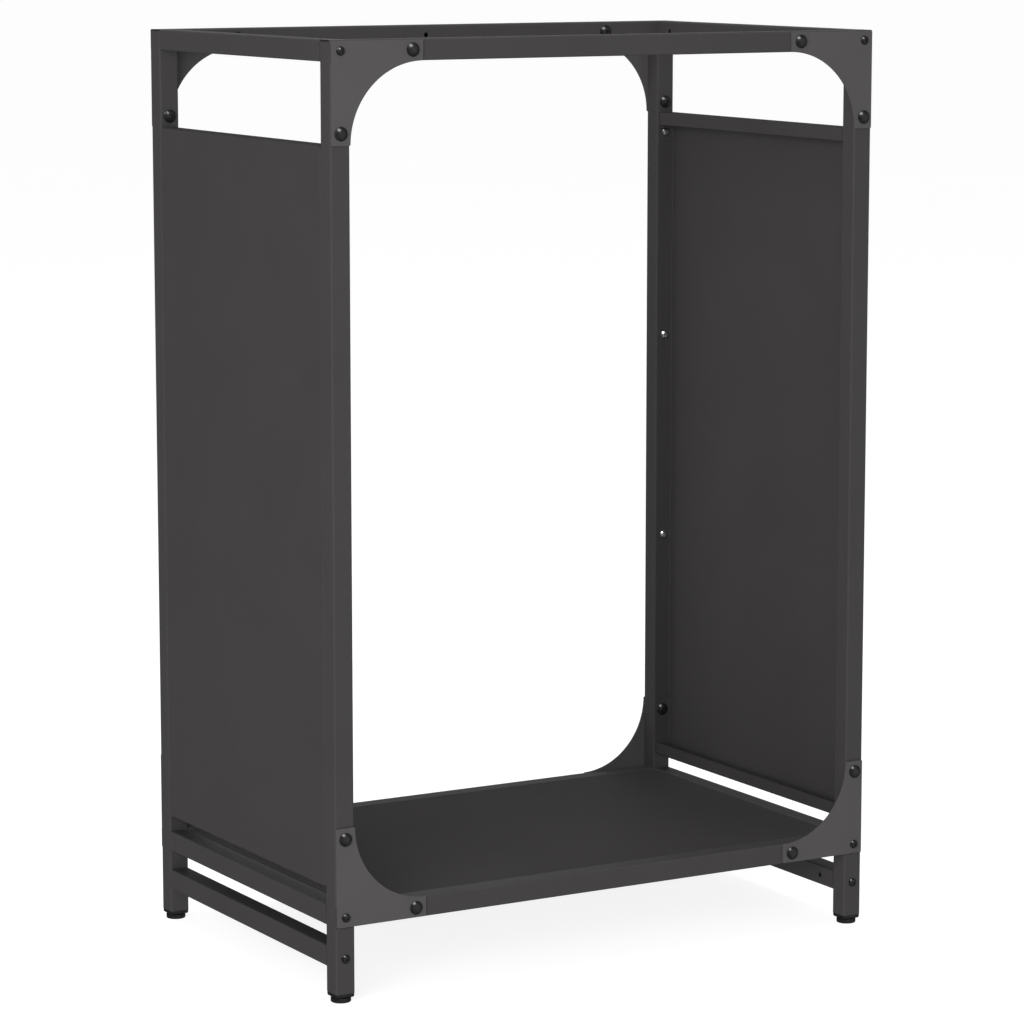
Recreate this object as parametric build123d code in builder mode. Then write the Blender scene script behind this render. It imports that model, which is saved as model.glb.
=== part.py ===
from build123d import *
import os

os.makedirs("parts", exist_ok=True)

# Firewood log rack in millimetres. X runs along the width, -Y is the open front, +Z is up.
# The origin is on the floor, in the middle of the rack's footprint.
# Square tube posts and rails carry folded sheet side panels and a folded shelf, and sheet
# gussets stiffen the corners of the open front and back.

# ---- Driving sizes of the whole rack ----
width = 600.0              # over the posts, left to right
depth = 380.0              # over the posts, front to back
height = 900.0             # floor to the top of the post caps

# ---- Square tube ----
tube = 20.0                # outside size of every post and rail
tube_wall = 1.2
tube_corner = 1.6          # outside corner radius
bottom_rail_z = 83.0       # centre height of the rails around the shelf
low_rail_z = 43.0          # centre height of the stretchers beside the feet
drain_hole = 5.0           # diameter of the drain holes in the side rails
drain_from_end = 23.0      # rail end to the drain hole's centre
anchor_hole = 5.0          # wall anchor hole in the middle of the back top rail

# ---- Folded sheet ----
sheet = 1.0                # side panels and shelf
bend = 1.0                 # inside radius of every fold
panel_slit = 16.0          # bottom side rail to the panel's lower edge
panel_window = 76.0        # panel's upper edge to the top side rail
panel_flange = 18.0        # how far a panel's edges fold inwards
panel_lip = 13.0           # height of the return lips on its upper and lower flange
shelf_flange = 18.0        # how far the shelf's edges fold down
shelf_gap = 0.3            # shelf flange to each side rail

# ---- Corner gussets ----
gusset_plate = 1.5
gusset_arm = 95.0          # length of each arm
gusset_inset = 0.8         # plate edge to the post's and rail's outer faces
gusset_corner = 1.0        # radius on the plate's corners
bolt_reach = 85.0          # rack's outer faces to the large bolt in each arm

# ---- M6 gusset bolts with sleeve nuts ----
bolt_d = 6.0
bolt_hole = 6.4
neck = 6.2                 # square under the bolt head, which keeps the bolt from turning
neck_length = 1.3
neck_hole = 6.5
bolt_shank = 16.0
sleeve_d = 8.0
sleeve_hole = 8.4
sleeve_length = 12.0
sleeve_bore_gap = 0.05     # radial gap between the bolt and the sleeve
dome_d = 13.0              # both the bolt head and the nut head
dome_height = 4.0
dome_rim = 0.8
dome_socket = 4.0          # hex in the nut head, across flats
dome_socket_depth = 2.2

# ---- M5 corner and leg screws, threaded into plugs in the side rails ----
screw_d = 5.0
screw_hole = 5.4
screw_length = 35.0
screw_head_d = 8.6
screw_head_height = 3.0
screw_rim = 0.6
screw_socket = 2.5         # across flats
screw_socket_depth = 1.3
plug_length = 18.0
plug_gap = 0.05            # plug to the tube's inner faces
thread_gap = 0.02          # radial gap between the screw and the plug's thread

# ---- Panel screws ----
panel_screw_d = 4.0
panel_screw_length = 10.0
panel_screw_hole = 4.1
panel_screw_head_d = 9.0
panel_screw_head_height = 2.8
panel_screw_rim = 0.7
cross_slot = 1.1           # width of the cross recess
cross_size = 4.6
cross_depth = 1.4
panel_screws_per_flange = 3
panel_screw_top = 21.0     # panel's upper edge to the first screw
panel_screw_low = 241.0    # panel's lower edge to the last screw

# ---- Post caps ----
cap_plate = 1.5
cap_spigot = 5.0
cap_wall = 1.6

# ---- Feet and their inserts ----
pad_d = 19.4
pad_height = 4.7
pad_chamfer = 0.7
pad_gap = 0.3              # pad to the insert's collar when screwed right in
collar_height = 4.0
collar_inset = 0.2         # collar to the tube's outer faces
collar_round = 1.8
stem_d = 7.9
stem_bore = 8.0
stem_length = 23.0
insert_core = 13.0
insert_length = 22.0
insert_fin = 1.2
insert_fins = 3

# ---- Places worked out from the sizes above ----
corners = {"front_left": (-1, -1), "front_right": (1, -1), "back_left": (-1, 1), "back_right": (1, 1)}
sides = {"left": -1, "right": 1}
faces = {"front": -1, "back": 1}

bore = tube - 2 * tube_wall
bore_corner = tube_corner - tube_wall
post_x = width / 2 - tube / 2
post_y = depth / 2 - tube / 2
bay_x = width / 2 - tube                       # inner faces of the posts and side rails
bay_y = depth / 2 - tube                       # facing faces of the front and back posts
tongue_y = depth / 2 - tube_wall               # inner face of the cross rails' outer wall
top_rail_z = height - tube / 2
collar_z = pad_height + pad_gap
post_foot_z = collar_z + collar_height
panel_low_z = bottom_rail_z + tube / 2 + panel_slit
panel_top_z = height - tube - panel_window
shelf_top_z = bottom_rail_z + tube / 2
fold_notch = bend + sheet                      # corner relief between two neighbouring folds

# Each level has its rails' centre height and the way from the rail into the bay.
levels = {"top": (top_rail_z, -1), "bottom": (bottom_rail_z, 1)}
side_rail_levels = {"top": top_rail_z, "bottom": bottom_rail_z, "low": low_rail_z}

bolt_x = width / 2 - bolt_reach                # large bolts through the cross rails
post_bolt_z = {name: z + way * (bolt_reach - tube / 2) for name, (z, way) in levels.items()}
panel_screw_span = panel_top_z - panel_screw_top - panel_low_z - panel_screw_low
panel_screw_pitch = panel_screw_span / (panel_screws_per_flange - 1)
panel_screw_z = [
    panel_low_z + panel_screw_low + n * panel_screw_pitch for n in range(panel_screws_per_flange)
]

# ---- Posts ----
for place, (sx, sy) in corners.items():
    with BuildPart() as post:
        with BuildSketch(Plane.XY.offset(post_foot_z)):
            with Locations((sx * post_x, sy * post_y)):
                RectangleRounded(tube, tube, tube_corner)
                RectangleRounded(bore, bore, bore_corner, mode=Mode.SUBTRACT)
        extrude(amount=height - cap_plate - post_foot_z)
        # The outer wall is notched at both levels for the cross rails' tongues.
        with BuildSketch(Plane.XZ.offset(-sy * tongue_y)):
            with Locations(*[(sx * post_x, z) for z, way in levels.values()]):
                Rectangle(tube, tube)
        extrude(amount=tube_wall, dir=(0, sy, 0), mode=Mode.SUBTRACT)
        # Gusset bolts: a close hole in the outer wall, a sleeve hole in the facing wall.
        with BuildSketch(Plane.XZ.offset(-sy * post_y)):
            with Locations(*[(sx * post_x, z) for z in post_bolt_z.values()]):
                Circle(bolt_hole / 2)
        extrude(amount=tube, dir=(0, sy, 0), mode=Mode.SUBTRACT)
        with BuildSketch(Plane.XZ.offset(-sy * post_y)):
            with Locations(*[(sx * post_x, z) for z in post_bolt_z.values()]):
                Circle(sleeve_hole / 2)
            with Locations(*[(sx * post_x, z) for z in panel_screw_z]):
                Circle(panel_screw_hole / 2)
        extrude(amount=tube, dir=(0, -sy, 0), mode=Mode.SUBTRACT)
        # Screws that run through both walls into the ends of the side rails.
        with BuildSketch(Plane.XZ.offset(-sy * post_y)):
            with Locations(*[(sx * post_x, z) for z in side_rail_levels.values()]):
                Circle(screw_hole / 2)
        extrude(amount=tube, both=True, mode=Mode.SUBTRACT)
    post.part.label = f"post_{place}"
    export_step(post.part, f"parts/{post.part.label}.step")

# ---- Side rails, front to back between the posts ----
for level, z in side_rail_levels.items():
    for side, sx in sides.items():
        with BuildPart() as side_rail:
            with BuildSketch(Plane.XZ):
                with Locations((sx * post_x, z)):
                    RectangleRounded(tube, tube, tube_corner)
                    RectangleRounded(bore, bore, bore_corner, mode=Mode.SUBTRACT)
            extrude(amount=bay_y, both=True)
            with BuildSketch(Plane.YZ.offset(sx * post_x)):
                with Locations((drain_from_end - bay_y, z), (bay_y - drain_from_end, z)):
                    Circle(drain_hole / 2)
            extrude(amount=tube, dir=(-sx, 0, 0), mode=Mode.SUBTRACT)
        side_rail.part.label = f"side_rail_{level}_{side}"
        export_step(side_rail.part, f"parts/{side_rail.part.label}.step")

# ---- Cross rails: their outer wall runs on as tongues that lie in the posts' notches ----
for level, (z, way) in levels.items():
    for face, sy in faces.items():
        with BuildPart() as cross_rail:
            with BuildSketch(Plane.YZ):
                with Locations((sy * post_y, z)):
                    RectangleRounded(tube, tube, tube_corner)
                    RectangleRounded(bore, bore, bore_corner, mode=Mode.SUBTRACT)
            extrude(amount=width / 2, both=True)
            with BuildSketch(Plane.XZ.offset(-sy * tongue_y)):
                with Locations(*[(s * post_x, z) for s in sides.values()]):
                    Rectangle(tube, tube)
            extrude(amount=tube, dir=(0, -sy, 0), mode=Mode.SUBTRACT)
            with BuildSketch(Plane.XZ.offset(-sy * post_y)):
                with Locations(*[(s * bolt_x, z) for s in sides.values()]):
                    Circle(bolt_hole / 2)
                with Locations(*[(s * post_x, z) for s in sides.values()]):
                    Circle(screw_hole / 2)
            extrude(amount=tube, dir=(0, sy, 0), mode=Mode.SUBTRACT)
            with BuildSketch(Plane.XZ.offset(-sy * post_y)):
                with Locations(*[(s * bolt_x, z) for s in sides.values()]):
                    Circle(sleeve_hole / 2)
            extrude(amount=tube, dir=(0, -sy, 0), mode=Mode.SUBTRACT)
            if (level, face) == ("top", "back"):
                with BuildSketch(Plane.XZ.offset(-sy * post_y)):
                    with Locations((0, z)):
                        Circle(anchor_hole / 2)
                extrude(amount=tube, both=True, mode=Mode.SUBTRACT)
        cross_rail.part.label = f"cross_rail_{level}_{face}"
        export_step(cross_rail.part, f"parts/{cross_rail.part.label}.step")

# ---- Side panels: folded trays, flush with the posts' outer faces ----
for side, sx in sides.items():
    skin_x = sx * (width / 2 - sheet / 2)
    fold_x = sx * (width / 2 - panel_flange + sheet / 2)
    with BuildPart() as side_panel:
        with BuildSketch(Plane.XZ):
            with BuildLine():
                FilletPolyline(
                    (fold_x, panel_top_z - panel_lip),
                    (fold_x, panel_top_z - sheet / 2),
                    (skin_x, panel_top_z - sheet / 2),
                    (skin_x, panel_low_z + sheet / 2),
                    (fold_x, panel_low_z + sheet / 2),
                    (fold_x, panel_low_z + panel_lip),
                    radius=bend + sheet / 2,
                )
            trace(line_width=sheet)
        extrude(amount=bay_y - fold_notch, both=True)
        with BuildSketch(Plane.XY.offset(panel_low_z + fold_notch)):
            with BuildLine():
                FilletPolyline(
                    (fold_x - sx * sheet / 2, sheet / 2 - bay_y),
                    (skin_x, sheet / 2 - bay_y),
                    (skin_x, bay_y - sheet / 2),
                    (fold_x - sx * sheet / 2, bay_y - sheet / 2),
                    radius=bend + sheet / 2,
                )
            trace(line_width=sheet)
        extrude(amount=panel_top_z - panel_low_z - 2 * fold_notch)
        with BuildSketch(Plane.XZ):
            with Locations(*[(sx * post_x, z) for z in panel_screw_z]):
                Circle(panel_screw_hole / 2)
            with Locations((sx * post_x, post_bolt_z["bottom"])):
                Circle(sleeve_hole / 2)
        extrude(amount=depth / 2, both=True, mode=Mode.SUBTRACT)
    side_panel.part.label = f"side_panel_{side}"
    export_step(side_panel.part, f"parts/{side_panel.part.label}.step")

# ---- Shelf: a folded tray, upside down between the bottom rails ----
shelf_x = bay_x - shelf_gap - sheet / 2
shelf_y = bay_y - sheet / 2
shelf_skin_z = shelf_top_z - sheet / 2
with BuildPart() as shelf:
    with BuildSketch(Plane.XZ):
        with BuildLine():
            FilletPolyline(
                (-shelf_x, shelf_top_z - shelf_flange),
                (-shelf_x, shelf_skin_z),
                (shelf_x, shelf_skin_z),
                (shelf_x, shelf_top_z - shelf_flange),
                radius=bend + sheet / 2,
            )
        trace(line_width=sheet)
    extrude(amount=bay_y - fold_notch, both=True)
    with BuildSketch(Plane.YZ):
        with BuildLine():
            FilletPolyline(
                (-shelf_y, shelf_top_z - shelf_flange),
                (-shelf_y, shelf_skin_z),
                (shelf_y, shelf_skin_z),
                (shelf_y, shelf_top_z - shelf_flange),
                radius=bend + sheet / 2,
            )
        trace(line_width=sheet)
    extrude(amount=bay_x - shelf_gap - fold_notch, both=True)
    with BuildSketch(Plane.XZ):
        with Locations((-bolt_x, bottom_rail_z), (bolt_x, bottom_rail_z)):
            Circle(sleeve_hole / 2)
    extrude(amount=depth / 2, both=True, mode=Mode.SUBTRACT)
shelf.part.label = "shelf"
export_step(shelf.part, "parts/shelf.step")

# ---- Gussets: a flat L plate with a quarter-round inner edge, lying on the rail and the post ----
arm_end = gusset_inset + gusset_arm
arc_mid = arm_end - (arm_end - tube) * 0.5 ** 0.5
for level, (z, way) in levels.items():
    for place, (sx, sy) in corners.items():
        edge_z = z - way * tube / 2
        # The outline is drawn as (distance in from the side, distance in from the rail's edge).
        outline = [
            (sx * (width / 2 - u), edge_z + way * v)
            for u, v in (
                (tube, arm_end),
                (gusset_inset, arm_end),
                (gusset_inset, gusset_inset),
                (arm_end, gusset_inset),
                (arm_end, tube),
                (arc_mid, arc_mid),
            )
        ]
        with BuildPart() as gusset:
            with BuildSketch(Plane.XZ.offset(-sy * depth / 2)) as plate:
                with BuildLine():
                    Polyline(*outline[:5])
                    ThreePointArc(outline[4], outline[5], outline[0])
                make_face()
                fillet(plate.vertices(), gusset_corner)
            extrude(amount=gusset_plate, dir=(0, sy, 0))
            with BuildSketch(Plane.XZ.offset(-sy * depth / 2)):
                with Locations((sx * bolt_x, z), (sx * post_x, post_bolt_z[level])):
                    Rectangle(neck_hole, neck_hole)
                with Locations((sx * post_x, z)):
                    Circle(screw_hole / 2)
            extrude(amount=tube, both=True, mode=Mode.SUBTRACT)
        gusset.part.label = f"gusset_{level}_{place}"
        export_step(gusset.part, f"parts/{gusset.part.label}.step")

# ---- Post caps: a flat plate on a hollow spigot pressed into the post ----
for place, (sx, sy) in corners.items():
    with BuildPart() as cap:
        # The plate stops short of the cross rail's tongue.
        with BuildSketch(Plane.XY.offset(height - cap_plate)):
            with Locations((sx * post_x, sy * post_y)):
                RectangleRounded(tube, tube, tube_corner)
            with Locations((sx * post_x, sy * (tongue_y + tube_wall / 2))):
                Rectangle(tube, tube_wall, mode=Mode.SUBTRACT)
        extrude(amount=cap_plate)
        with BuildSketch(Plane.XY.offset(height - cap_plate)):
            with Locations((sx * post_x, sy * post_y)):
                RectangleRounded(bore - 2 * plug_gap, bore - 2 * plug_gap, bore_corner)
                Rectangle(bore - 2 * cap_wall, bore - 2 * cap_wall, mode=Mode.SUBTRACT)
        extrude(amount=-cap_spigot)
    cap.part.label = f"post_cap_{place}"
    export_step(cap.part, f"parts/{cap.part.label}.step")

# ---- Leg inserts: a square collar under the tube and a finned, threaded core inside it ----
fin_pitch = (insert_length - insert_fin) / insert_fins
for place, (sx, sy) in corners.items():
    with BuildPart() as insert:
        with BuildSketch(Plane.XY.offset(collar_z)):
            with Locations((sx * post_x, sy * post_y)):
                RectangleRounded(tube - 2 * collar_inset, tube - 2 * collar_inset, tube_corner)
        extrude(amount=collar_height)
        fillet(insert.faces().sort_by(Axis.Z)[0].edges(), collar_round)
        with BuildSketch(Plane.XY.offset(post_foot_z)):
            with Locations((sx * post_x, sy * post_y)):
                Rectangle(insert_core, insert_core)
        extrude(amount=insert_length)
        for n in range(1, insert_fins + 1):
            with BuildSketch(Plane.XY.offset(post_foot_z + n * fin_pitch)):
                with Locations((sx * post_x, sy * post_y)):
                    RectangleRounded(bore - 2 * plug_gap, bore - 2 * plug_gap, bore_corner)
            extrude(amount=insert_fin)
        with BuildSketch(Plane.XY.offset(collar_z)):
            with Locations((sx * post_x, sy * post_y)):
                Circle(stem_bore / 2)
        extrude(amount=collar_height + insert_length, mode=Mode.SUBTRACT)
    insert.part.label = f"leg_insert_{place}"
    export_step(insert.part, f"parts/{insert.part.label}.step")

# ---- Feet: a round glide pad on a threaded stem, which screws up into the insert ----
for place, (sx, sy) in corners.items():
    with BuildPart() as foot:
        with BuildSketch():
            with Locations((sx * post_x, sy * post_y)):
                Circle(pad_d / 2)
        extrude(amount=pad_height)
        chamfer(foot.faces().sort_by(Axis.Z)[0].edges(), pad_chamfer)
        with BuildSketch(Plane.XY.offset(pad_height)):
            with Locations((sx * post_x, sy * post_y)):
                Circle(stem_d / 2)
        extrude(amount=stem_length)
    foot.part.label = f"foot_{place}"
    export_step(foot.part, f"parts/{foot.part.label}.step")

# ---- Gusset bolts: plain dome head with a square neck that sits in the gusset's square hole ----
with BuildPart() as gusset_bolt:
    with BuildSketch(Plane.XZ):
        with BuildLine():
            Polyline((0, dome_height), (0, -bolt_shank), (bolt_d / 2, -bolt_shank), (bolt_d / 2, 0),
                     (dome_d / 2, 0), (dome_d / 2, dome_rim))
            TangentArc((0, dome_height), (dome_d / 2, dome_rim), tangent=(1, 0))
        make_face()
    revolve(axis=Axis.Z)
    with BuildSketch():
        Rectangle(neck, neck)
    extrude(amount=-neck_length)

for face, sy in faces.items():
    seat_y = sy * (depth / 2 + gusset_plate)
    seats = [(s * bolt_x, seat_y, z) for s in sides.values() for z, way in levels.values()]
    seats += [(s * post_x, seat_y, z) for s in sides.values() for z in post_bolt_z.values()]
    with BuildPart() as gusset_bolts:
        with Locations(*[Plane(seat, x_dir=(1, 0, 0), z_dir=(0, sy, 0)) for seat in seats]):
            add(gusset_bolt.part)
    gusset_bolts.part.label = f"gusset_bolts_{face}"
    export_step(gusset_bolts.part, f"parts/{gusset_bolts.part.label}.step")

# ---- Sleeve nuts: dome head on the inside, with a threaded sleeve reaching into the tube ----
with BuildPart() as sleeve_nut:
    with BuildSketch(Plane.XZ):
        with BuildLine():
            Polyline((0, dome_height), (0, -sleeve_length), (sleeve_d / 2, -sleeve_length),
                     (sleeve_d / 2, 0), (dome_d / 2, 0), (dome_d / 2, dome_rim))
            TangentArc((0, dome_height), (dome_d / 2, dome_rim), tangent=(1, 0))
        make_face()
    revolve(axis=Axis.Z)
    with BuildSketch(Plane.XY.offset(dome_height)):
        RegularPolygon(dome_socket / 2, 6, major_radius=False)
    extrude(amount=-dome_socket_depth, mode=Mode.SUBTRACT)
    with BuildSketch(Plane.XY.offset(-sleeve_length)):
        Circle(bolt_d / 2 + sleeve_bore_gap)
    extrude(amount=sleeve_length, mode=Mode.SUBTRACT)

for face, sy in faces.items():
    # At the bottom the nuts also clamp the shelf's flange and the panels' flanges.
    seats = []
    for s in sides.values():
        seats.append((s * bolt_x, sy * bay_y, top_rail_z))
        seats.append((s * bolt_x, sy * (bay_y - sheet), bottom_rail_z))
        seats.append((s * post_x, sy * bay_y, post_bolt_z["top"]))
        seats.append((s * post_x, sy * (bay_y - sheet), post_bolt_z["bottom"]))
    with BuildPart() as sleeve_nuts:
        with Locations(*[Plane(seat, x_dir=(1, 0, 0), z_dir=(0, -sy, 0)) for seat in seats]):
            add(sleeve_nut.part)
    sleeve_nuts.part.label = f"sleeve_nuts_{face}"
    export_step(sleeve_nuts.part, f"parts/{sleeve_nuts.part.label}.step")

# ---- Corner and leg screws: smaller dome heads, through the post into the side rails ----
with BuildPart() as frame_screw:
    with BuildSketch(Plane.XZ):
        with BuildLine():
            Polyline((0, screw_head_height), (0, -screw_length), (screw_d / 2, -screw_length),
                     (screw_d / 2, 0), (screw_head_d / 2, 0), (screw_head_d / 2, screw_rim))
            TangentArc((0, screw_head_height), (screw_head_d / 2, screw_rim), tangent=(1, 0))
        make_face()
    revolve(axis=Axis.Z)
    with BuildSketch(Plane.XY.offset(screw_head_height)):
        RegularPolygon(screw_socket / 2, 6, major_radius=False)
    extrude(amount=-screw_socket_depth, mode=Mode.SUBTRACT)

for face, sy in faces.items():
    seat_y = sy * (depth / 2 + gusset_plate)
    corner_seats = [(s * post_x, seat_y, z) for s in sides.values() for z, way in levels.values()]
    leg_seats = [(s * post_x, sy * depth / 2, low_rail_z) for s in sides.values()]
    for kind, seats in (("corner", corner_seats), ("leg", leg_seats)):
        with BuildPart() as frame_screws:
            with Locations(*[Plane(seat, x_dir=(1, 0, 0), z_dir=(0, sy, 0)) for seat in seats]):
                add(frame_screw.part)
        frame_screws.part.label = f"{kind}_screws_{face}"
        export_step(frame_screws.part, f"parts/{frame_screws.part.label}.step")

# ---- Rail end plugs: threaded blocks pressed into both ends of every side rail ----
for side, sx in sides.items():
    with BuildPart() as end_plugs:
        for sy in faces.values():
            with BuildSketch(Plane.XZ.offset(-sy * bay_y)):
                with Locations(*[(sx * post_x, z) for z in side_rail_levels.values()]):
                    RectangleRounded(bore - 2 * plug_gap, bore - 2 * plug_gap, bore_corner)
                    Circle(screw_d / 2 + thread_gap, mode=Mode.SUBTRACT)
            extrude(amount=plug_length, dir=(0, -sy, 0))
    end_plugs.part.label = f"rail_end_plugs_{side}"
    export_step(end_plugs.part, f"parts/{end_plugs.part.label}.step")

# ---- Panel screws: pan heads with a cross recess, through the panel's flanges ----
with BuildPart() as panel_screw:
    with BuildSketch(Plane.XZ):
        with BuildLine():
            Polyline((0, panel_screw_head_height), (0, -panel_screw_length),
                     (panel_screw_d / 2, -panel_screw_length), (panel_screw_d / 2, 0),
                     (panel_screw_head_d / 2, 0), (panel_screw_head_d / 2, panel_screw_rim))
            TangentArc((0, panel_screw_head_height), (panel_screw_head_d / 2, panel_screw_rim),
                       tangent=(1, 0))
        make_face()
    revolve(axis=Axis.Z)
    with BuildSketch(Plane.XY.offset(panel_screw_head_height)):
        Rectangle(cross_size, cross_slot)
        Rectangle(cross_slot, cross_size)
    extrude(amount=-cross_depth, mode=Mode.SUBTRACT)

for side, sx in sides.items():
    with BuildPart() as panel_screws:
        for sy in faces.values():
            seats = [(sx * post_x, sy * (bay_y - sheet), z) for z in panel_screw_z]
            with Locations(*[Plane(seat, x_dir=(1, 0, 0), z_dir=(0, -sy, 0)) for seat in seats]):
                add(panel_screw.part)
    panel_screws.part.label = f"panel_screws_{side}"
    export_step(panel_screws.part, f"parts/{panel_screws.part.label}.step")
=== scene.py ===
import math

import bpy
import numpy as np
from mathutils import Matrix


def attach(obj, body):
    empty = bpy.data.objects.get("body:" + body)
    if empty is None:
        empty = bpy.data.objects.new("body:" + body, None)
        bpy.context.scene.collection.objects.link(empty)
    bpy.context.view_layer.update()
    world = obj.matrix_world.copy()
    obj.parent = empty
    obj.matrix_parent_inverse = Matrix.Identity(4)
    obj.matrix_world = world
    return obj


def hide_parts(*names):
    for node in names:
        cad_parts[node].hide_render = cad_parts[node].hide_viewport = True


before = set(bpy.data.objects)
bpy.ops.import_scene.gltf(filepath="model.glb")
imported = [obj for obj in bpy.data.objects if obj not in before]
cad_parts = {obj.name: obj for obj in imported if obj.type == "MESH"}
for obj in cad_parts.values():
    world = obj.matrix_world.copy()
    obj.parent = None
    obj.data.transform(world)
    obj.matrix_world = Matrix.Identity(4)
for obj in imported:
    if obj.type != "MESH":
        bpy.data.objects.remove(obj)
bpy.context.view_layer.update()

# ---- Square tube: four posts, six side rails and four cross rails ----
# Cold-rolled 20 mm steel tube with rounded corners, sawn, punched and hung in a powder booth.
# The anthracite powder bakes to a fine satin orange peel. The cross rails are half-lapped into
# the posts' outer walls, and one screw at each corner runs on into the end of a side rail.
MILLIMETRE = 0.001
ANTHRACITE_DEEP = (0.0403, 0.0380, 0.0391, 1)
ANTHRACITE_PALE = (0.0432, 0.0408, 0.0420, 1)
TUBE_GLOSS = 0.16
PEEL_SIZE = 1.4 * MILLIMETRE
PEEL_HEIGHT = 0.060 * MILLIMETRE
GRAIN_SIZE = 0.35 * MILLIMETRE
GRAIN_HEIGHT = 0.020 * MILLIMETRE
PATCH_SIZE = 0.09                  # a hand's breadth
SPECK_SHARE = 0.5
SPECK_SHADE = 0.75                 # a speck's grey as a share of the deep grey
CREST_ROUGHNESS = 0.58
DALE_ROUGHNESS = 0.70
SOFT_SPAN = (0.30, 0.70)           # part of a noise's 0 to 1 that a slow change takes up
CRISP_SPAN = (0.35, 0.65)          # the same for a crisper change


def add_node(tree, kind, links=(), **values):
    """A shader node of that kind. links are (input, socket or number) pairs, and each value
    goes to the node's property of that name."""
    made = tree.nodes.new(kind)
    for name, value in values.items():
        setattr(made, name, value)
    for where, what in links:
        if isinstance(what, bpy.types.NodeSocket):
            tree.links.new(what, made.inputs[where])
        else:
            made.inputs[where].default_value = what
    return made


def blank_finish(name):
    """A new material with only a Principled shader: the material, its tree, that shader and
    the Object coordinates in metres."""
    finish = bpy.data.materials.new(name)
    finish.use_nodes = True
    tree = finish.node_tree
    shader = tree.nodes["Principled BSDF"]
    place = add_node(tree, "ShaderNodeTexCoord").outputs["Object"]
    return finish, tree, shader, place


def noise(tree, place, size, detail=2.0, roughness=0.5):
    """Soft noise, 0 to 1, whose lumps are about size metres across."""
    links = [("Vector", place), ("Scale", 1 / size), ("Detail", detail), ("Roughness", roughness)]
    return add_node(tree, "ShaderNodeTexNoise", links).outputs["Fac"]


def ranged(tree, value, low, high, to_low, to_high):
    """value, carried from low..high to to_low..to_high and held there."""
    links = [("Value", value), ("From Min", low), ("From Max", high),
             ("To Min", to_low), ("To Max", to_high)]
    return add_node(tree, "ShaderNodeMapRange", links).outputs["Result"]


def blended(tree, share, first, second):
    """Colour first where share is 0 and second where it is 1."""
    made = add_node(tree, "ShaderNodeMix", data_type="RGBA")
    for socket, what in (("Factor_Float", share), ("A_Color", first), ("B_Color", second)):
        where = next(s for s in made.inputs if s.identifier == socket)
        if isinstance(what, bpy.types.NodeSocket):
            tree.links.new(what, where)
        else:
            where.default_value = what
    return next(s for s in made.outputs if s.identifier == "Result_Color")


def bumped(tree, height, depth, under=None):
    """A normal raised by height times depth metres, on top of the normal under it."""
    made = add_node(tree, "ShaderNodeBump",
                    [("Height", height), ("Distance", depth), ("Strength", 1.0)])
    if under is not None:
        tree.links.new(under, made.inputs["Normal"])
    return made.outputs["Normal"]


def powder_coat(name, deep, pale, gloss):
    """Baked powder. The grey wanders between deep and pale over patches and is darkened in
    specks by the grain. Its height is the peel's lumps under the grain's, and the grain's
    crests are the smoother."""
    finish, tree, shader, place = blank_finish(name)
    peel = noise(tree, place, PEEL_SIZE, detail=1.0)
    grain = noise(tree, place, GRAIN_SIZE, detail=1.0)
    patch = noise(tree, place, PATCH_SIZE, detail=2.0, roughness=0.6)
    speck = tuple(channel * SPECK_SHADE for channel in deep[:3]) + (1,)
    colour = blended(tree, ranged(tree, patch, *SOFT_SPAN, 0, 1), deep, pale)
    speckled = blended(tree, ranged(tree, grain, *CRISP_SPAN, 0, SPECK_SHARE), colour, speck)
    tree.links.new(speckled, shader.inputs["Base Color"])
    satin = ranged(tree, grain, *SOFT_SPAN, DALE_ROUGHNESS, CREST_ROUGHNESS)
    tree.links.new(satin, shader.inputs["Roughness"])
    shader.inputs["Specular IOR Level"].default_value = gloss
    skin = bumped(tree, peel, PEEL_HEIGHT)
    tree.links.new(bumped(tree, grain, GRAIN_HEIGHT, skin), shader.inputs["Normal"])
    return finish


def coat_nodes(finish, starts):
    """Every CAD node whose name begins with one of those starts takes the finish."""
    for name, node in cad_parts.items():
        if name.startswith(starts):
            node.data.materials.clear()
            node.data.materials.append(finish)


anthracite = powder_coat("anthracite_powder", ANTHRACITE_DEEP, ANTHRACITE_PALE, TUBE_GLOSS)
coat_nodes(anthracite, ("post_front", "post_back", "side_rail", "cross_rail"))

# ---- Folded sheet: two side panels and the shelf ----
# 1 mm cold-rolled sheet, folded on a press brake and coated in the same anthracite as the tube.
# Its gloss is set far under the tube's, so that the shelf stays dark when seen at a low angle.
SHEET_GLOSS = 0.01
flat_anthracite = powder_coat(
    "anthracite_powder_on_sheet", ANTHRACITE_DEEP, ANTHRACITE_PALE, SHEET_GLOSS)
coat_nodes(flat_anthracite, ("side_panel", "shelf"))

# ---- Corner gussets ----
# Laser-cut 1.5 mm steel plates with a quarter-circle inner edge, deburred and coated a paler
# grey than the tube they lie on. Two dome bolts and one corner screw hold each of them.
GUSSET_DEEP = (0.0648, 0.0618, 0.0633, 1)
GUSSET_PALE = (0.0702, 0.0670, 0.0686, 1)
GUSSET_GLOSS = 0.10
grey = powder_coat("gusset_grey_powder", GUSSET_DEEP, GUSSET_PALE, GUSSET_GLOSS)
coat_nodes(grey, ("gusset_top", "gusset_bottom"))

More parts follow.
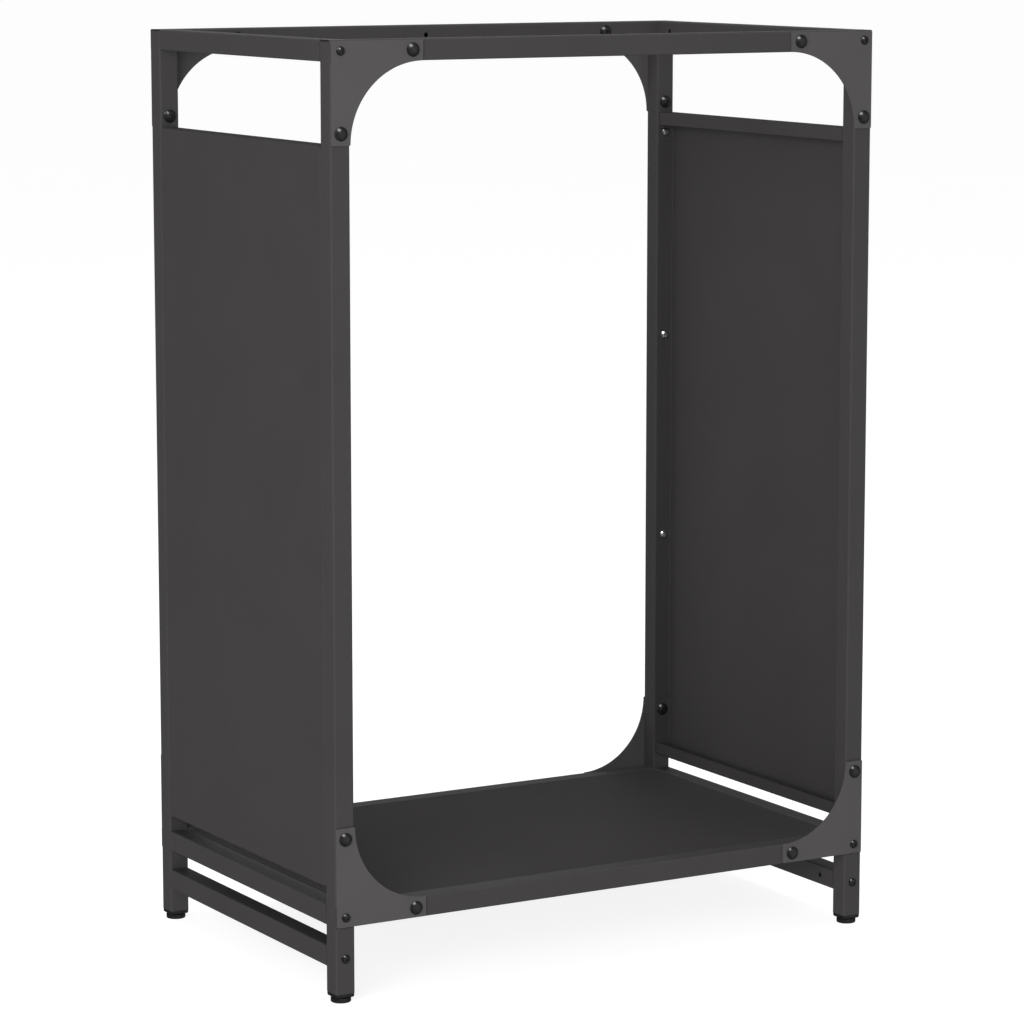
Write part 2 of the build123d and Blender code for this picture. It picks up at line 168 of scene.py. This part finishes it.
# ---- Dome bolts, sleeve nuts and socket screws ----
# Cold-headed steel, the nuts and screws with a hex socket, all dipped in gloss black, which
# pools slightly on the domes.
BOLT_BLACK = (0.006, 0.006, 0.0065, 1)
BOLT_WORN = (0.011, 0.011, 0.0115, 1)
BOLT_GLOSS = 0.5
BOLT_ROUGHNESS = (0.20, 0.30)
RIPPLE_SIZE = 3 * MILLIMETRE
RIPPLE_HEIGHT = 0.02 * MILLIMETRE
PIT_SIZE = 0.3 * MILLIMETRE
PIT_HEIGHT = 0.004 * MILLIMETRE


def dipped_black(name):
    """Gloss black over headed steel: slow flow ripples, which also take the colour from black
    to worn, and fine pits, which also roughen it."""
    finish, tree, shader, place = blank_finish(name)
    ripple = noise(tree, place, RIPPLE_SIZE, detail=1.0)
    pits = noise(tree, place, PIT_SIZE, detail=2.0)
    colour = blended(tree, ranged(tree, ripple, *CRISP_SPAN, 0, 1), BOLT_BLACK, BOLT_WORN)
    tree.links.new(colour, shader.inputs["Base Color"])
    tree.links.new(ranged(tree, pits, *SOFT_SPAN, *BOLT_ROUGHNESS), shader.inputs["Roughness"])
    shader.inputs["Specular IOR Level"].default_value = BOLT_GLOSS
    skin = bumped(tree, ripple, RIPPLE_HEIGHT)
    tree.links.new(bumped(tree, pits, PIT_HEIGHT, skin), shader.inputs["Normal"])
    return finish


black_bolt = dipped_black("bolt_gloss_black")
coat_nodes(black_bolt, ("gusset_bolts", "sleeve_nuts", "corner_screws", "leg_screws"))

# ---- Panel screws ----
# Self-tapping steel pan heads with a cross recess, zinc plated and left bright. They are driven
# through the panels' flanges into the posts.
ZINC_BRIGHT = (0.74, 0.75, 0.77, 1)
ZINC_DULL = (0.60, 0.61, 0.63, 1)
ZINC_ROUGHNESS = (0.20, 0.32)
SPANGLE_SIZE = 0.8 * MILLIMETRE
SCRATCH_SIZE = 0.2 * MILLIMETRE
SCRATCH_HEIGHT = 0.003 * MILLIMETRE


def zinc_plate(name):
    """Bright zinc: crystals, each with its own shade between dull and bright and its own
    roughness, under fine tumbling scratches."""
    finish, tree, shader, place = blank_finish(name)
    cells = add_node(tree, "ShaderNodeTexVoronoi",
                     [("Vector", place), ("Scale", 1 / SPANGLE_SIZE)]).outputs["Color"]
    shade = add_node(tree, "ShaderNodeSeparateColor", [("Color", cells)]).outputs[0]
    tree.links.new(blended(tree, shade, ZINC_DULL, ZINC_BRIGHT), shader.inputs["Base Color"])
    shader.inputs["Metallic"].default_value = 1.0
    tree.links.new(ranged(tree, shade, 0, 1, *ZINC_ROUGHNESS), shader.inputs["Roughness"])
    scratch = noise(tree, place, SCRATCH_SIZE, detail=2.0)
    tree.links.new(bumped(tree, scratch, SCRATCH_HEIGHT), shader.inputs["Normal"])
    return finish


zinc = zinc_plate("bright_zinc")
coat_nodes(zinc, ("panel_screws",))

# ---- Moulded caps, leg inserts and rail plugs ----
# Injection-moulded black polyethylene with a spark-eroded grain, pressed into the tube ends.
# The caps close the posts' tops, the inserts hold the feet and the plugs take the screws.
PLASTIC_BLACK = (0.0065, 0.0065, 0.0068, 1)
PLASTIC_SCUFFED = (0.0105, 0.0105, 0.0110, 1)
PLASTIC_GLOSS = 0.3
PLASTIC_ROUGHNESS = (0.55, 0.42)
ERODED_SIZE = 0.5 * MILLIMETRE
ERODED_HEIGHT = 0.02 * MILLIMETRE
FLOW_SIZE = 8 * MILLIMETRE


def moulded_plastic(name):
    """Grained plastic: eroded grain, whose tops are the shinier, over slow flow marks that
    take the colour from black to scuffed."""
    finish, tree, shader, place = blank_finish(name)
    grain = noise(tree, place, ERODED_SIZE, detail=2.0)
    flow = noise(tree, place, FLOW_SIZE, detail=1.0)
    marks = ranged(tree, flow, *SOFT_SPAN, 0, 1)
    tree.links.new(blended(tree, marks, PLASTIC_BLACK, PLASTIC_SCUFFED),
                   shader.inputs["Base Color"])
    tree.links.new(ranged(tree, grain, *SOFT_SPAN, *PLASTIC_ROUGHNESS),
                   shader.inputs["Roughness"])
    shader.inputs["Specular IOR Level"].default_value = PLASTIC_GLOSS
    tree.links.new(bumped(tree, grain, ERODED_HEIGHT), shader.inputs["Normal"])
    return finish


plastic = moulded_plastic("grained_black_plastic")
coat_nodes(plastic, ("post_cap", "leg_insert", "rail_end_plugs"))

# ---- Levelling feet: glide pads ----
# A black polyethylene pad with a ribbed rim, moulded round the head of a steel stem.
# It is screwed up against the leg insert and turned by its rim to level the rack.
LEG_X = 290 * MILLIMETRE           # rack's middle to a leg's middle, across and front to back
LEG_Y = 180 * MILLIMETRE
LEGS = {
    "front_left": (-LEG_X, -LEG_Y),
    "front_right": (LEG_X, -LEG_Y),
    "back_left": (-LEG_X, LEG_Y),
    "back_right": (LEG_X, LEG_Y),
}
PAD_RADIUS = 9.7 * MILLIMETRE
PAD_HEIGHT = 4.7 * MILLIMETRE
SOLE_DISH = 0.25 * MILLIMETRE      # how far the middle of the sole is hollowed
SOLE_RING = 2 * MILLIMETRE         # width of the slope from the hollow to the sole's edge
SOLE_ROUND = 1.1 * MILLIMETRE      # radius between the sole and the rim
SHOULDER_ROUND = 0.8 * MILLIMETRE  # radius between the rim and the top
BOSS_RADIUS = 6.2 * MILLIMETRE
BOSS_RISE = 0.25 * MILLIMETRE
STEM_HOLE = 4.2 * MILLIMETRE       # radius where the boss meets the stem
# The soft slope up to the boss, as radius past the boss's edge and rise above the top.
BOSS_SLOPE_OUT = np.array([0.30, 0.0, -0.25, -0.50]) * MILLIMETRE
BOSS_SLOPE_UP = np.array([0.0, 0.04, 0.20, 0.25]) * MILLIMETRE
PAD_FLUTES = 24
FLUTE_COLUMNS = 8                  # points round each flute
FLUTE_DEPTH = 0.35 * MILLIMETRE
FLUTE_POWER = 0.6
FLUTE_START = 0.5                  # share of the sole's round where the flutes begin
FLUTE_END = 0.3                    # share of the shoulder's round below the top where they end


def turned_grid(name, radius, rise, centre):
    """A closed surface on a grid, rows along the profile and columns round the axis: the
    radius from the axis and the rise above the floor. The first and last rows lie at
    radius 0 and are closed there with one point each."""
    rows, columns = radius.shape
    turn = np.arange(columns) * 2 * np.pi / columns
    x = centre[0] + radius * np.cos(turn)
    y = centre[1] + radius * np.sin(turn)
    ring = np.stack([x, y, np.broadcast_to(rise, radius.shape)], axis=-1)[1:-1]
    low = (centre[0], centre[1], rise[0, 0])
    high = (centre[0], centre[1], rise[-1, 0])
    points = np.vstack([ring.reshape(-1, 3), low, high])
    here = np.arange((rows - 3) * columns).reshape(rows - 3, columns)
    beside = np.roll(here, -1, axis=1)
    walls = np.stack([here, beside, beside + columns, here + columns], axis=-1).reshape(-1, 4)
    bottom = here[0]
    top = here[0] + (rows - 3) * columns
    low_point = np.full(columns, len(points) - 2)
    high_point = np.full(columns, len(points) - 1)
    low_fan = np.stack([np.roll(bottom, -1), bottom, low_point], axis=-1)
    high_fan = np.stack([top, np.roll(top, -1), high_point], axis=-1)
    mesh = bpy.data.meshes.new(name)
    mesh.from_pydata(points.tolist(), [], walls.tolist() + low_fan.tolist() + high_fan.tolist())
    mesh.polygons.foreach_set("use_smooth", np.ones(len(mesh.polygons), dtype=bool))
    piece = bpy.data.objects.new(name, mesh)
    bpy.context.scene.collection.objects.link(piece)
    return piece


def glide_pad(name, centre):
    """A turned profile: a dished sole, a quarter-round lower edge, an upright rim, a
    quarter-round shoulder and a top with a low boss round the stem. On the upright rim the
    radius dips by FLUTE_DEPTH times (1 - |cos(flutes * angle / 2)| to the power FLUTE_POWER),
    which is broad ribs with narrow grooves between them. The dip fades out over both rounds."""
    sole_edge = PAD_RADIUS - SOLE_ROUND
    top = PAD_HEIGHT - BOSS_RISE
    arc = np.linspace(0, np.pi / 2, 7)
    r = np.concatenate([
        np.linspace(0, sole_edge - SOLE_RING, 5),
        np.linspace(sole_edge - 0.8 * SOLE_RING, sole_edge - 0.1 * SOLE_RING, 3),
        sole_edge + SOLE_ROUND * np.sin(arc),
        np.full(6, PAD_RADIUS),
        PAD_RADIUS - SHOULDER_ROUND + SHOULDER_ROUND * np.cos(arc),
        BOSS_RADIUS + BOSS_SLOPE_OUT,
        [STEM_HOLE, 0],
    ])
    z = np.concatenate([
        np.full(5, SOLE_DISH),
        np.linspace(SOLE_DISH * 0.8, 0, 3),
        SOLE_ROUND - SOLE_ROUND * np.cos(arc),
        np.linspace(SOLE_ROUND, top - SHOULDER_ROUND, 8)[1:-1],
        top - SHOULDER_ROUND + SHOULDER_ROUND * np.sin(arc),
        top + BOSS_SLOPE_UP,
        [PAD_HEIGHT, PAD_HEIGHT],
    ])
    columns = PAD_FLUTES * FLUTE_COLUMNS
    turn = np.arange(columns) * 2 * np.pi / columns
    flute_foot = FLUTE_START * SOLE_ROUND
    fade_in = np.clip((z - flute_foot) / (SOLE_ROUND - flute_foot), 0, 1)
    fade_out = np.clip((top - FLUTE_END * SHOULDER_ROUND - z) / SHOULDER_ROUND, 0, 1)
    upright = fade_in * fade_out * (r > sole_edge)
    groove = 1 - np.abs(np.cos(PAD_FLUTES * turn / 2)) ** FLUTE_POWER
    radius = r[:, None] - FLUTE_DEPTH * upright[:, None] * groove[None, :]
    return turned_grid(name, radius, z[:, None], centre)


for corner, middle in LEGS.items():
    pad = glide_pad(f"foot_pad_{corner}", middle)
    pad.data.materials.append(plastic)
    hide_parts(f"foot_{corner}")
    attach(pad, f"foot_{corner}")

# ---- Levelling feet: threaded stems ----
# An M8 steel stem with a rolled 1.25 mm thread, zinc plated. Its lower end is moulded into the
# pad and its upper end is tapered to start in the leg insert.
STEM_RADIUS = 3.94 * MILLIMETRE
STEM_LENGTH = 23 * MILLIMETRE      # from the pad's top
STEM_ROOT = 1.5 * MILLIMETRE       # how deep it starts inside the pad
STEM_COLUMNS = 48
THREAD_PITCH = 1.25 * MILLIMETRE
THREAD_DEPTH = 0.6 * MILLIMETRE
THREAD_ROWS = 10                   # rows of points to a pitch
THREAD_FLAT = 0.15                 # share of the depth taken off flat at crest and root
STEM_LEAD = 1.5 * MILLIMETRE       # taper at the stem's upper end
STEM_TIP = 0.6                     # share of the radius left at the tip


def threaded_stem(name, centre):
    """radius = STEM_RADIUS - THREAD_DEPTH * v, where v runs 0 to 1 to 0 over each turn: v is 1
    less twice the distance of (height / pitch - angle / full turn) from the nearest whole
    number, with its peaks cut flat. Over the last STEM_LEAD the radius is also held under a
    45 degree cone."""
    start = PAD_HEIGHT - STEM_ROOT
    end = PAD_HEIGHT + STEM_LENGTH
    rise = np.linspace(start, end, int(THREAD_ROWS * (end - start) / THREAD_PITCH))
    turn = np.arange(STEM_COLUMNS) * 2 * np.pi / STEM_COLUMNS
    phase = rise[:, None] / THREAD_PITCH - turn[None, :] / (2 * np.pi)
    valley = 1 - 2 * np.abs(phase - np.round(phase))
    valley = np.clip(valley * (1 + 2 * THREAD_FLAT) - THREAD_FLAT, 0, 1)
    radius = STEM_RADIUS - THREAD_DEPTH * valley
    cone = STEM_RADIUS + end - STEM_LEAD - rise[:, None]
    radius = np.minimum(radius, np.maximum(cone, STEM_TIP * STEM_RADIUS))
    middle_line = np.zeros((1, STEM_COLUMNS))
    radius = np.vstack([middle_line, radius, middle_line])
    rise = np.concatenate([rise[:1], rise, rise[-1:]])
    return turned_grid(name, radius, rise[:, None], centre)


for corner, middle in LEGS.items():
    stem = threaded_stem(f"foot_stem_{corner}", middle)
    stem.data.materials.append(zinc)
    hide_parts(f"foot_{corner}")
    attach(stem, f"foot_{corner}")

# ---- Studio: floor, room, lamps and camera ----
# A wide light table of white acrylic, lit from below, in an even white room that shiny faces
# see as dark flags. Soft boxes at the front left and overhead, which they don't see, fill the
# inside, and two small ones that only they see give the bolts their glints.
FLOOR_SIDE = 400.0
FLOOR_DEEP = (0.29, 0.29, 0.29, 1)
FLOOR_PALE = (0.31, 0.31, 0.31, 1)
FLOOR_CLOUD = 1.5
FLOOR_GLOW = 0.86
bpy.ops.mesh.primitive_plane_add(size=FLOOR_SIDE, location=(0, 0, 0))
floor = bpy.context.object
floor.name = "studio_floor"
floor_finish, floor_tree, floor_shader, floor_place = blank_finish("studio_floor_acrylic")
floor_cloud = noise(floor_tree, floor_place, FLOOR_CLOUD, detail=1.0)
floor_tree.links.new(blended(floor_tree, floor_cloud, FLOOR_DEEP, FLOOR_PALE),
                     floor_shader.inputs["Base Color"])
floor_shader.inputs["Roughness"].default_value = 1.0
floor_shader.inputs["Specular IOR Level"].default_value = 0.0
floor_shader.inputs["Emission Color"].default_value = (1, 1, 1, 1)
floor_shader.inputs["Emission Strength"].default_value = FLOOR_GLOW
floor.data.materials.append(floor_finish)
floor.visible_glossy = False

ROOM_LIGHT = 0.40
BACKDROP = 1.0
FLAG_DARK = 0.07                   # black flags round the set, which only shiny faces see
FLAG_BRIGHT = 0.60                 # the opening between them, out to the front
FLAG_OPENING = (0.35, -0.93, 0.0)
OPENING_SPAN = (0.35, 1.0)         # cosine off that way where the flags begin, and its middle
BACK_GLOW = 0.75                   # the lit back wall low down between the flags
BACK_MIDDLE = (0.47, 0.86, 0.20)
BACK_SPAN = (0.75, 0.97)           # cosine off that way where the glow begins and is full
room = bpy.data.worlds.new("white_room")
room.use_nodes = True
room_tree = room.node_tree
looking = add_node(room_tree, "ShaderNodeTexCoord").outputs["Generated"]
facing = add_node(room_tree, "ShaderNodeVectorMath",
                  [(0, looking), (1, FLAG_OPENING)], operation="DOT_PRODUCT")
backward = add_node(room_tree, "ShaderNodeVectorMath",
                    [(0, looking), (1, BACK_MIDDLE)], operation="DOT_PRODUCT")
ray = add_node(room_tree, "ShaderNodeLightPath")


def either(tree, test, if_not, if_so):
    """The number if_so where test is 1 and if_not where it is 0."""
    made = add_node(tree, "ShaderNodeMix", data_type="FLOAT")
    for where, what in (("Factor", test), ("A", if_not), ("B", if_so)):
        if isinstance(what, bpy.types.NodeSocket):
            tree.links.new(what, made.inputs[where])
        else:
            made.inputs[where].default_value = what
    return made.outputs["Result"]


opening = ranged(room_tree, facing.outputs["Value"], *OPENING_SPAN, FLAG_DARK, FLAG_BRIGHT)
glow = ranged(room_tree, backward.outputs["Value"], *BACK_SPAN, 0, BACK_GLOW)
flags = add_node(room_tree, "ShaderNodeMath",
                 [(0, opening), (1, glow)], operation="ADD").outputs["Value"]
lit = either(room_tree, ray.outputs["Is Glossy Ray"], ROOM_LIGHT, flags)
lit = either(room_tree, ray.outputs["Is Camera Ray"], lit, BACKDROP)
room_tree.nodes["Background"].inputs["Color"].default_value = (1, 1, 1, 1)
room_tree.links.new(lit, room_tree.nodes["Background"].inputs["Strength"])
bpy.context.scene.world = room
bpy.context.scene.view_settings.view_transform = "Standard"

# Each lamp's name, place, side in metres and watts.
FILL_BOXES = (
    ("soft_box_fill", (-3.6, -3.1, 1.4), 3.0, 235),
    ("soft_box_top", (0, 0, 4.5), 2.0, 100),
)
GLINT_BOXES = (
    ("glint_box_front", (-0.8, -2.0, 3.5), 1.9, 110),
    ("glint_box_left", (-2.9, -0.7, 2.9), 0.9, 30),
)
RACK_MIDDLE = (0, 0, 0.45)


def soft_box(name, place, aim, side, watts):
    """A square area lamp at place, turned so that its face looks at aim."""
    lamp = bpy.data.lights.new(name, "AREA")
    lamp.shape = "SQUARE"
    lamp.size = side
    lamp.energy = watts
    holder = bpy.data.objects.new(name, lamp)
    away = np.array(place) - np.array(aim)
    flat = math.hypot(away[0], away[1])
    holder.location = place
    holder.rotation_euler = (math.atan2(flat, away[2]), 0, math.atan2(away[0], -away[1]))
    bpy.context.scene.collection.objects.link(holder)
    return holder


for name, place, side, watts in FILL_BOXES:
    fill = soft_box(name, place, RACK_MIDDLE, side, watts)
    fill.visible_glossy = False
for name, place, side, watts in GLINT_BOXES:
    glint = soft_box(name, place, RACK_MIDDLE, side, watts)
    glint.visible_diffuse = False

CAMERA_PLACE = (-1.9547, -3.3452, 1.0182)
CAMERA_YAW = math.radians(30.326)
CAMERA_PITCH = math.radians(8.781)
CAMERA_SENSOR = 36.0               # millimetres, as the lens
CAMERA_LENS = 137.51015625
CAMERA_REACH = 100.0
view = bpy.data.cameras.new("front_left_camera")
view.sensor_width = CAMERA_SENSOR
view.lens = CAMERA_LENS
view.clip_end = CAMERA_REACH
camera = bpy.data.objects.new("front_left_camera", view)
camera.location = CAMERA_PLACE
camera.rotation_euler = (math.pi / 2 - CAMERA_PITCH, 0, -CAMERA_YAW)
bpy.context.scene.collection.objects.link(camera)
bpy.context.scene.camera = camera
